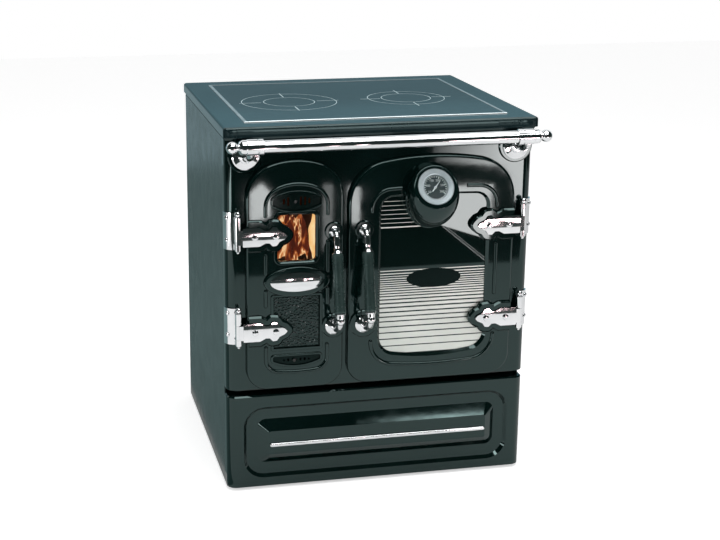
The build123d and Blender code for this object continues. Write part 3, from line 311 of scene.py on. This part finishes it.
for z in stripes["upper"]:
    high = stripes["thick"] if z == stripes["upper"][0] else stripes["thin"]
    flatBar(bm, paneFace, stripes["x0"], stripes["upperX1"], z - high / 2, z + high / 2)
heights = stripes["lower"]
for i, (above, below) in enumerate(zip(heights, heights[1:])):
    fill = stripes["leastFill"] + stripes["moreFill"] * i / (len(heights) - 2)
    middle, high = (above + below) / 2, (above - below) * fill
    flatBar(bm, paneFace, stripes["x0"], stripes["x1"], middle - high / 2, middle + high / 2)
addPiece("oven_glass_stripes", bm, "oven_door", "mirrorPrint", facing=(0, -1, 0))

bm = bmesh.new()
ovalPlace = Matrix.Translation((oval["x"], paneFront - stripes["lift"], oval["z"])) @ standUp
ovalPlace = ovalPlace @ Matrix.Diagonal((oval["wide"], oval["tall"], 1, 1))
bmesh.ops.create_circle(bm, cap_ends=True, radius=1, segments=oval["sides"], matrix=ovalPlace)
addPiece("oven_glass_oval", bm, "oven_door", "registerBlack", facing=(0, -1, 0))
print("cookstove: oven glass")

# Thermometer dial: a plain scale, its angles in degrees, anticlockwise from the right.
dial = {"tilt": 28, "centre": (0.108, -0.319, 0.6885), "face": 0.0408, "rim": (0.0262, 0.0268),
        "ticks": 0.0258, "steps": 20, "boldEvery": 4, "bold": (0.0044, 0.0010),
        "light": (0.0032, 0.0007), "numbers": 0.0172, "size": 0.0070, "from": 215, "sweep": 250,
        "labels": ("50", "100", "150", "200", "250", "300")}
lean = math.radians(dial["tilt"])
dialAxis = Vector((0, -math.cos(lean), math.sin(lean)))
dialUp = Vector((0, math.sin(lean), math.cos(lean)))
dialPlace = Matrix(((1, 0, 0), dialUp, dialAxis)).transposed().to_4x4()
dialPlace.translation = Vector(dial["centre"]) + dialAxis * dial["face"]


def dialAngle(share):
    return math.radians(dial["from"] - dial["sweep"] * share)


def numberMesh(text):
    curve = bpy.data.curves.new("number", "FONT")
    curve.body = text
    curve.size = dial["size"]
    curve.align_x = "CENTER"
    curve.align_y = "CENTER"
    holder = bpy.data.objects.new("number", curve)
    bpy.context.scene.collection.objects.link(holder)
    flat = bpy.data.meshes.new_from_object(holder)
    bpy.data.objects.remove(holder)
    return flat


bm = bmesh.new()
for i in range(dial["steps"] + 1):
    long, wide = dial["light"] if i % dial["boldEvery"] else dial["bold"]
    turned = dialPlace @ Matrix.Rotation(dialAngle(i / dial["steps"]), 4, "Z")
    flatBar(bm, turned, dial["ticks"] - long, dial["ticks"], -wide, wide)
flatRing(bm, dialPlace, *dial["rim"])
for i, label in enumerate(dial["labels"]):
    angle = dialAngle(i / (len(dial["labels"]) - 1))
    spot = Vector((math.cos(angle), math.sin(angle), 0)) * dial["numbers"]
    flat = numberMesh(label)
    flat.transform(dialPlace @ Matrix.Translation(spot))
    bm.from_mesh(flat)
# the dial marks wear the white finish with its painted glow
addPiece("dial_marks", bm, "oven_door", "dialWhitePaintedGlow", facing=dialAxis)
print("cookstove: dial")

# Logs behind the small window: start, end and seed of each.
logs = {"radius": 0.021, "sides": 28, "cuts": 23, "capInset": 0.25, "capSink": 0.001,
        "lumps": [(0.16, 1.6, 3), (0.06, 7, 5)],  # rise, waves round the log, waves along it
        "lie": [((-0.262, -0.262, 0.470), (-0.150, -0.215, 0.486), 1),
                ((-0.255, -0.190, 0.468), (-0.148, -0.250, 0.468), 4),
                ((-0.250, -0.235, 0.505), (-0.158, -0.225, 0.525), 8),
                ((-0.235, -0.150, 0.470), (-0.160, -0.080, 0.475), 12)]}


def makeLog(name, start, end, seed):
    bm = bmesh.new()
    axis, radius = end - start, logs["radius"]
    bmesh.ops.create_cone(bm, cap_ends=True, segments=logs["sides"], radius1=radius,
                          radius2=radius, depth=axis.length)
    lengthwise = [edge for edge in bm.edges if edge.calc_length() > axis.length / 2]
    bmesh.ops.subdivide_edges(bm, edges=lengthwise, cuts=logs["cuts"], use_grid_fill=True)
    for vert in bm.verts:
        roundX, roundY = vert.co.x / radius, vert.co.y / radius
        share = vert.co.z / axis.length + 0.5
        lump = 1
        for rise, waves, along in logs["lumps"]:
            spot = Vector((roundX * waves, roundY * waves, share * along + seed))
            lump += rise * noise.noise(spot)
        vert.co.x *= lump
        vert.co.y *= lump
    caps = [face for face in bm.faces if len(face.verts) > 4]
    bmesh.ops.inset_individual(bm, faces=caps, thickness=radius * logs["capInset"],
                               depth=-logs["capSink"])
    turnTo = axis.to_track_quat("Z", "Y").to_matrix().to_4x4()
    bmesh.ops.transform(bm, matrix=Matrix.Translation((start + end) / 2) @ turnTo, verts=bm.verts)
    addPiece(name, bm, "stove", "bark", rounded=True)


for i, (start, end, seed) in enumerate(logs["lie"]):
    makeLog("log_%d" % (i + 1), Vector(start), Vector(end), seed)

# Flames: bent leaves, each a little further back. A pair is a least value and a random extra.
# The pale ones, at the right of the window, give x, y, z, width, height and seed. The leaf is
# the outline, the sway and the ripple of one flame.
hearth = {"x0": -0.262, "x1": -0.140, "front": -0.275, "grate": 0.442, "top": 0.652}
flames = {"count": 22, "margin": 0.012, "spread": 0.618, "firstRow": 0.02, "rowsDeep": 0.12,
          "foot": (0.03, 0.04), "wide": (0.03, 0.03), "tall": 0.200, "tallShare": (0.55, 0.45),
          "topSlope": 0.25, "swing": 0.012, "seedStep": 1.7, "paleSwing": 0.006,
          "pale": [(-0.142, -0.268, 0.651, 0.030, -0.150, 2.4),
                   (-0.140, -0.266, 0.480, 0.008, 0.060, 4.1)]}
leaf = {"steps": 22, "foot": 0.16, "swell": 0.8, "point": 0.35, "least": 0.0002,
        "swayWaves": 5, "wander": 0.004, "wanderWaves": 6, "ripple": 0.006, "rippleWaves": 7,
        "rightShare": 0.8, "rightWaver": 0.3, "rightWaves": 9, "skew": 0.003}


def makeTongue(bm, x, y, z, wide, tall, swing, seed):
    for vert in unitGrid(bm, 1, leaf["steps"]):
        share, atLeft = vert.co.y + 0.5, vert.co.x < 0
        swell = math.sin(math.pi * min(1, leaf["foot"] + share * (1 - leaf["foot"])))
        half = wide / 2 * swell ** leaf["swell"] * (1 - share) ** leaf["point"] + leaf["least"]
        middle = x + swing * share * math.sin(share * leaf["swayWaves"] + seed)
        middle += leaf["wander"] * noise.noise(Vector((seed, share * leaf["wanderWaves"], 0)))
        deep = y + leaf["ripple"] * math.sin(share * leaf["rippleWaves"] + seed * 2)
        if atLeft:
            vert.co = (middle - half, deep, z + tall * share)
        else:
            waver = leaf["rightWaver"] * math.sin(seed + share * leaf["rightWaves"])
            vert.co = (middle + half * (leaf["rightShare"] + waver), deep + leaf["skew"],
                       z + tall * share)


def vary(least, extra):
    return least + extra * random.random()


bm = bmesh.new()
clearWide = hearth["x1"] - hearth["x0"] - 2 * flames["margin"]
for i in range(flames["count"]):
    x = hearth["x0"] + flames["margin"] + clearWide * ((i * flames["spread"]) % 1)
    y = hearth["front"] + flames["firstRow"] + flames["rowsDeep"] * i / (flames["count"] - 1)
    z = hearth["grate"] + vary(*flames["foot"])
    wide = vary(*flames["wide"])
    headroom = hearth["top"] - flames["topSlope"] * (y - hearth["front"]) - z
    tall = min(flames["tall"] * vary(*flames["tallShare"]), headroom)
    makeTongue(bm, x, y, z, wide, tall, flames["swing"], i * flames["seedStep"])
addPiece("flames", bm, "stove", "flame", rounded=True, facing=(0, -1, 0))
bm = bmesh.new()
for x, y, z, wide, tall, seed in flames["pale"]:
    makeTongue(bm, x, y, z, wide, tall, flames["paleSwing"], seed)
addPiece("flames_pale", bm, "stove", "flamePale", rounded=True, facing=(0, -1, 0))

embers = {"columns": 30, "rows": 60, "x0": -0.266, "wide": 0.130, "deep": 0.36, "lift": 0.012,
          "rise": 0.010, "waves": 0.45, "seed": 2.2}
bm = bmesh.new()
for vert in unitGrid(bm, embers["columns"], embers["rows"]):
    across, deep = vert.co.x + 0.5, vert.co.y + 0.5
    lump = noise.noise(Vector((across * embers["columns"] * embers["waves"],
                               deep * embers["rows"] * embers["waves"], embers["seed"])))
    vert.co = (embers["x0"] + embers["wide"] * across, hearth["front"] + embers["deep"] * deep,
               hearth["grate"] + embers["lift"] + embers["rise"] * lump)
addPiece("ember_bed", bm, "stove", "ember", rounded=True, facing=(0, 0, 1))
print("cookstove: fire")

# Pebbled panel of the fire door: a fine skin in place of the CAD panel.
panel = {"cell": 0.0009, "rise": 0.0011, "floor": 0.0012, "lumps": 150, "steep": 2.2,
         "edgeCells": 3, "backGap": 0.0001}
low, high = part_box("fire_panel")
bm = bmesh.new()
columns, rows = (int((high[axis] - low[axis]) / panel["cell"]) for axis in (0, 2))
for vert in unitGrid(bm, columns, rows):
    across, up = vert.co.x + 0.5, vert.co.y + 0.5
    x, z = low[0] + (high[0] - low[0]) * across, low[2] + (high[2] - low[2]) * up
    nearest, second = noise.voronoi(Vector((x, z, 0)) * panel["lumps"])[0][:2]
    dome = min(1, (second - nearest) * panel["steep"]) ** 0.5
    fromEdge = min(across * columns, (1 - across) * columns, up * rows, (1 - up) * rows)
    rise = panel["rise"] * dome * min(1, fromEdge / panel["edgeCells"])
    vert.co = (x, low[1] + panel["floor"] - rise, z)
rim = [edge for edge in bm.edges if edge.is_boundary]  # a skirt closes the sides
for item in bmesh.ops.extrude_edge_only(bm, edges=rim)["geom"]:
    if isinstance(item, bmesh.types.BMVert):
        item.co.y = high[1] - panel["backGap"]
addPiece("fire_panel_skin", bm, "fire_door", "pebbledCast", ["fire_panel"],
         rounded=True)
print("cookstove: panel")

# Screws round the back panel, each with a sunk head.
screws = {"radius": 0.0055, "headShare": 0.62, "rise": 0.0022, "rimShare": 0.3, "sunk": 0.45,
          "sides": 28, "twist": 0.7, "side": 0.335, "low": 0.045, "high": 0.79, "rows": 6,
          "across": [-0.2, 0.2]}
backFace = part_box("back_panel")[1][1]
pitch = (screws["high"] - screws["low"]) / (screws["rows"] - 1)
spots = [(x, screws["low"] + pitch * i)
         for x in (-screws["side"], screws["side"]) for i in range(screws["rows"])]
spots += [(x, z) for x in screws["across"] for z in (screws["low"], screws["high"])]
bm = bmesh.new()
for i, (x, z) in enumerate(spots):
    turned = Matrix.Translation((x, backFace, z)) @ Matrix.Rotation(-math.pi / 2, 4, "X")
    turned = turned @ Matrix.Rotation(i * screws["twist"], 4, "Z")
    turned = turned @ Matrix.Translation((0, 0, screws["rise"] / 2))
    bmesh.ops.create_cone(bm, cap_ends=True, segments=screws["sides"], radius1=screws["radius"],
                          radius2=screws["radius"] * screws["headShare"], depth=screws["rise"],
                          matrix=turned)
    ends = [face for face in bm.faces if len(face.verts) == screws["sides"] and not face.tag]
    cap = max(ends, key=lambda face: face.calc_center_median().y)
    bmesh.ops.inset_region(bm, faces=[cap], thickness=screws["radius"] * screws["rimShare"])
    bmesh.ops.translate(bm, verts=cap.verts[:], vec=(0, -screws["rise"] * screws["sunk"], 0))
    for face in bm.faces:
        face.tag = True  # done, so the next screw's cap is the only one found
addPiece("back_screws", bm, "stove", "slideSteel")
print("cookstove: back screws")

# Room: a pale floor, a white sky, and boards that only reflections see.
room = {"reach": 7.0, "floorColour": (0.86, 0.86, 0.86), "floorGlow": 0.62, "rough": 0.9,
        "skyLight": 0.45, "skySeen": 1.0}


def makeStage(name, points, colour, emit=0.0, fade=None, seen=True):
    mesh = bpy.data.meshes.new(name)
    mesh.from_pydata(points, [], [tuple(range(len(points)))])
    mat = bpy.data.materials.new(name)
    mat.use_nodes = True
    tree = mat.node_tree
    shader = tree.nodes["Principled BSDF"]
    shader.inputs["Base Color"].default_value = (*colour, 1)
    shader.inputs["Roughness"].default_value = room["rough"]
    shader.inputs["Emission Color"].default_value = (*colour, 1)
    shader.inputs["Emission Strength"].default_value = emit
    if fade:  # the glow grows from the first x to the second
        split = tree.nodes.new("ShaderNodeSeparateXYZ")
        span = tree.nodes.new("ShaderNodeMapRange")
        for socket, value in zip(("From Min", "From Max", "To Max"), (*fade, emit)):
            span.inputs[socket].default_value = value
        coords = tree.nodes.new("ShaderNodeTexCoord").outputs["Object"]
        tree.links.new(coords, split.inputs["Vector"])
        tree.links.new(split.outputs["X"], span.inputs["Value"])
        tree.links.new(span.outputs["Result"], shader.inputs["Emission Strength"])
    mesh.materials.append(mat)
    board = bpy.data.objects.new(name, mesh)
    bpy.context.scene.collection.objects.link(board)
    board.visible_camera = seen
    board.visible_diffuse = seen
    board.visible_shadow = seen
    return board


def standing(y, points):  # seen from the front
    return [(x, y, z) for x, z in points]


def lying(z, points):
    return [(x, y, z) for x, y in points]


def edgeOn(x, points):  # seen from the side
    return [(x, y, z) for y, z in points]


def joinMath(tree, operation, first, second):
    joined = tree.nodes.new("ShaderNodeMath")
    joined.operation = operation
    tree.links.new(first, joined.inputs[0])
    if isinstance(second, float):
        joined.inputs[1].default_value = second
    else:
        tree.links.new(second, joined.inputs[1])
    return joined.outputs[0]


reach = room["reach"]
corners = [(-reach, -reach), (reach, -reach), (reach, reach), (-reach, reach)]
floor = makeStage("floor", lying(0, corners), room["floorColour"])
tree = floor.data.materials[0].node_tree
paths = tree.nodes.new("ShaderNodeLightPath").outputs
glow = joinMath(tree, "MULTIPLY", paths["Is Camera Ray"], room["floorGlow"])
tree.links.new(glow, tree.nodes["Principled BSDF"].inputs["Emission Strength"])

world = bpy.data.worlds.new("studio")
bpy.context.scene.world = world
world.use_nodes = True
tree = world.node_tree
sky = tree.nodes["Background"]
sky.inputs["Color"].default_value = (1, 1, 1, 1)
paths = tree.nodes.new("ShaderNodeLightPath").outputs
seen = joinMath(tree, "MAXIMUM", paths["Is Camera Ray"], paths["Is Glossy Ray"])
seen = joinMath(tree, "MAXIMUM", seen, paths["Is Transmission Ray"])
strength = tree.nodes.new("ShaderNodeMapRange")
strength.inputs["To Min"].default_value = room["skyLight"]
strength.inputs["To Max"].default_value = room["skySeen"]
tree.links.new(seen, strength.inputs["Value"])
tree.links.new(strength.outputs["Result"], sky.inputs["Strength"])

darkRoom, cardWhite, cardPlane = (0.020, 0.036, 0.033), (1.0, 0.75, 0.77), -1.9
boards = {  # how it lies, where, corners, colour, glow, and where the glow fades in
    "roomRear": (standing, -4.6, [(-6, 0.02), (6, 0.02), (6, 3.6), (-6, 3.6)], darkRoom, 0),
    "floorFar": (lying, 0.01, [(-6, -2.0), (-6, -4.6), (6, -4.6), (6, -2.0)], darkRoom, 0),
    "roomLeft": (edgeOn, -3.4, [(-4.6, 0.02), (1.5, 0.02), (1.5, 3.6), (-4.6, 3.6)], darkRoom, 0),
    "roomRight": (edgeOn, 3.6, [(-4.6, 0.02), (1.5, 0.02), (1.5, 3.6), (-4.6, 3.6)], darkRoom, 0),
    "roomTop": (lying, 3.6, [(-3.4, -4.6), (3.6, -4.6), (3.6, 1.5), (-3.4, 1.5)], darkRoom, 0),
    "wallFoot": (standing, 3.2, [(-5, 0), (6, 0), (6, 0.8), (-5, 0.8)], (0.17, 0.24, 0.26), 1),
    "wallLow": (standing, 3.2, [(-5, 0.8), (6, 0.8), (6, 1.44), (-5, 1.44)],
                (0.076, 0.138, 0.162), 1),
    "wallHigh": (standing, 3.2, [(-5, 1.44), (6, 1.44), (6, 2.4), (-5, 2.4)],
                 (0.105, 0.200, 0.236), 1),
    "floorLeft": (lying, 0.006, [(-4, -0.33), (-0.362, -0.33), (-0.362, 3.2), (-4, 3.2)],
                  (0.082, 0.125, 0.125), 1),
    "cardFrame": (standing, cardPlane, [(0.619, 0.407), (0.850, 0.384), (0.893, 0.343),
                                        (0.911, 0.252), (1.05, 0.252), (1.05, 0.46), (0.619, 0.46)],
                  cardWhite, 12.5, (0.60, 0.86)),
    "cardFire": (standing, cardPlane, [(-0.02, 0.229), (0.05, 0.243), (0.05, 0.33), (0.02, 0.36),
                                       (-0.02, 0.33)], cardWhite, 12.5),
    "cardMiddle": (standing, cardPlane, [(0.229, 0.12), (0.262, 0.12), (0.262, 0.346),
                                         (0.229, 0.346)], cardWhite, 3),
    "cardOven": (standing, cardPlane, [(0.323, 0.206), (0.356, 0.206), (0.356, 0.33),
                                       (0.323, 0.33)], cardWhite, 11),
    "cardGlass": (standing, cardPlane, [(0.6445, 0.182), (0.8124, 0.124), (0.8271, 0.32),
                                        (0.6406, 0.32)], cardWhite, 12.5),
    "cardLine": (standing, cardPlane, [(0.653, 0.1758), (0.656, 0.1758), (0.820, 0.040),
                                       (0.817, 0.040)], cardWhite, 8),
    "cardLineNext": (standing, cardPlane, [(0.664, 0.1752), (0.667, 0.1752), (0.820, 0.049),
                                           (0.817, 0.049)], cardWhite, 5),
    "cardEdge": (edgeOn, -1.5, [(-1.7, 0.245), (-0.85, 0.245), (-0.85, 0.42), (-1.7, 0.42)],
                 (0.9, 0.86, 0.87), 6),
    "stripAbove": (lying, 2.4, [(-1.4, -2.0), (1.6, -2.0), (1.6, -1.78), (-1.4, -1.78)],
                   (0.88, 0.88, 0.88), 9),
    "cardAbove": (lying, 2.4, [(0.7, -2.531), (1.5, -2.552), (1.5, -2.524), (0.7, -2.503)],
                  (0.85, 0.87, 0.88), 11, (0.75, 1.1)),
}
for name, (placed, offset, corners, *look) in boards.items():
    makeStage("board_" + name, placed(offset, corners), *look, seen=False)

lamps = {  # width and height, watts, place, aim, and whether reflections see it
    "overhead": ((2.4, 1.6), 55, (0.2, -0.6, 3.0), (0, 0, 0.5), True),
    "leftBank": ((1.2, 1.8), 26, (-2.7, -1.6, 1.7), (0, 0, 0.5), False),
    "rightBank": ((0.9, 1.6), 20, (2.3, -2.6, 1.6), (0, -0.2, 0.5), False),
}
for name, (size, watts, place, aim, mirrored) in lamps.items():
    lamp = bpy.data.lights.new(name, "AREA")
    lamp.shape = "RECTANGLE"
    lamp.size, lamp.size_y = size
    lamp.energy = watts
    holder = bpy.data.objects.new(name, lamp)
    bpy.context.scene.collection.objects.link(holder)
    holder.location = place
    holder.rotation_euler = (Vector(aim) - Vector(place)).to_track_quat("-Z", "Y").to_euler()
    holder.visible_glossy = mirrored

# Camera at the photo's angle: yaw, downward pitch and roll in radians.
view = {"place": (-0.8378, -3.3452, 1.4279), "yaw": 0.2112932, "pitch": 0.2630801,
        "roll": 0.0029236, "lens": 72.745, "sensor": 36, "shift": (0.0833, -0.0417),
        "clip": (0.05, 60)}
turn, dip, tip = view["yaw"], view["pitch"], view["roll"]
ahead = Vector((math.sin(turn) * math.cos(dip), math.cos(turn) * math.cos(dip), -math.sin(dip)))
side = Vector((math.cos(turn), -math.sin(turn), 0))
upward = side.cross(ahead)
sideTipped = math.cos(tip) * side + math.sin(tip) * upward
upTipped = -math.sin(tip) * side + math.cos(tip) * upward
pose = Matrix((sideTipped, upTipped, -ahead)).transposed().to_4x4()
pose.translation = Vector(view["place"])
lens = bpy.data.cameras.new("photoView")
camera = bpy.data.objects.new("photoView", lens)
bpy.context.scene.collection.objects.link(camera)
camera.matrix_world = pose
lens.sensor_width = view["sensor"]
lens.lens = view["lens"]
lens.shift_x, lens.shift_y = view["shift"]
lens.clip_start, lens.clip_end = view["clip"]
bpy.context.scene.camera = camera
bpy.context.scene.view_settings.view_transform = "Standard"
print("cookstove: stage set")
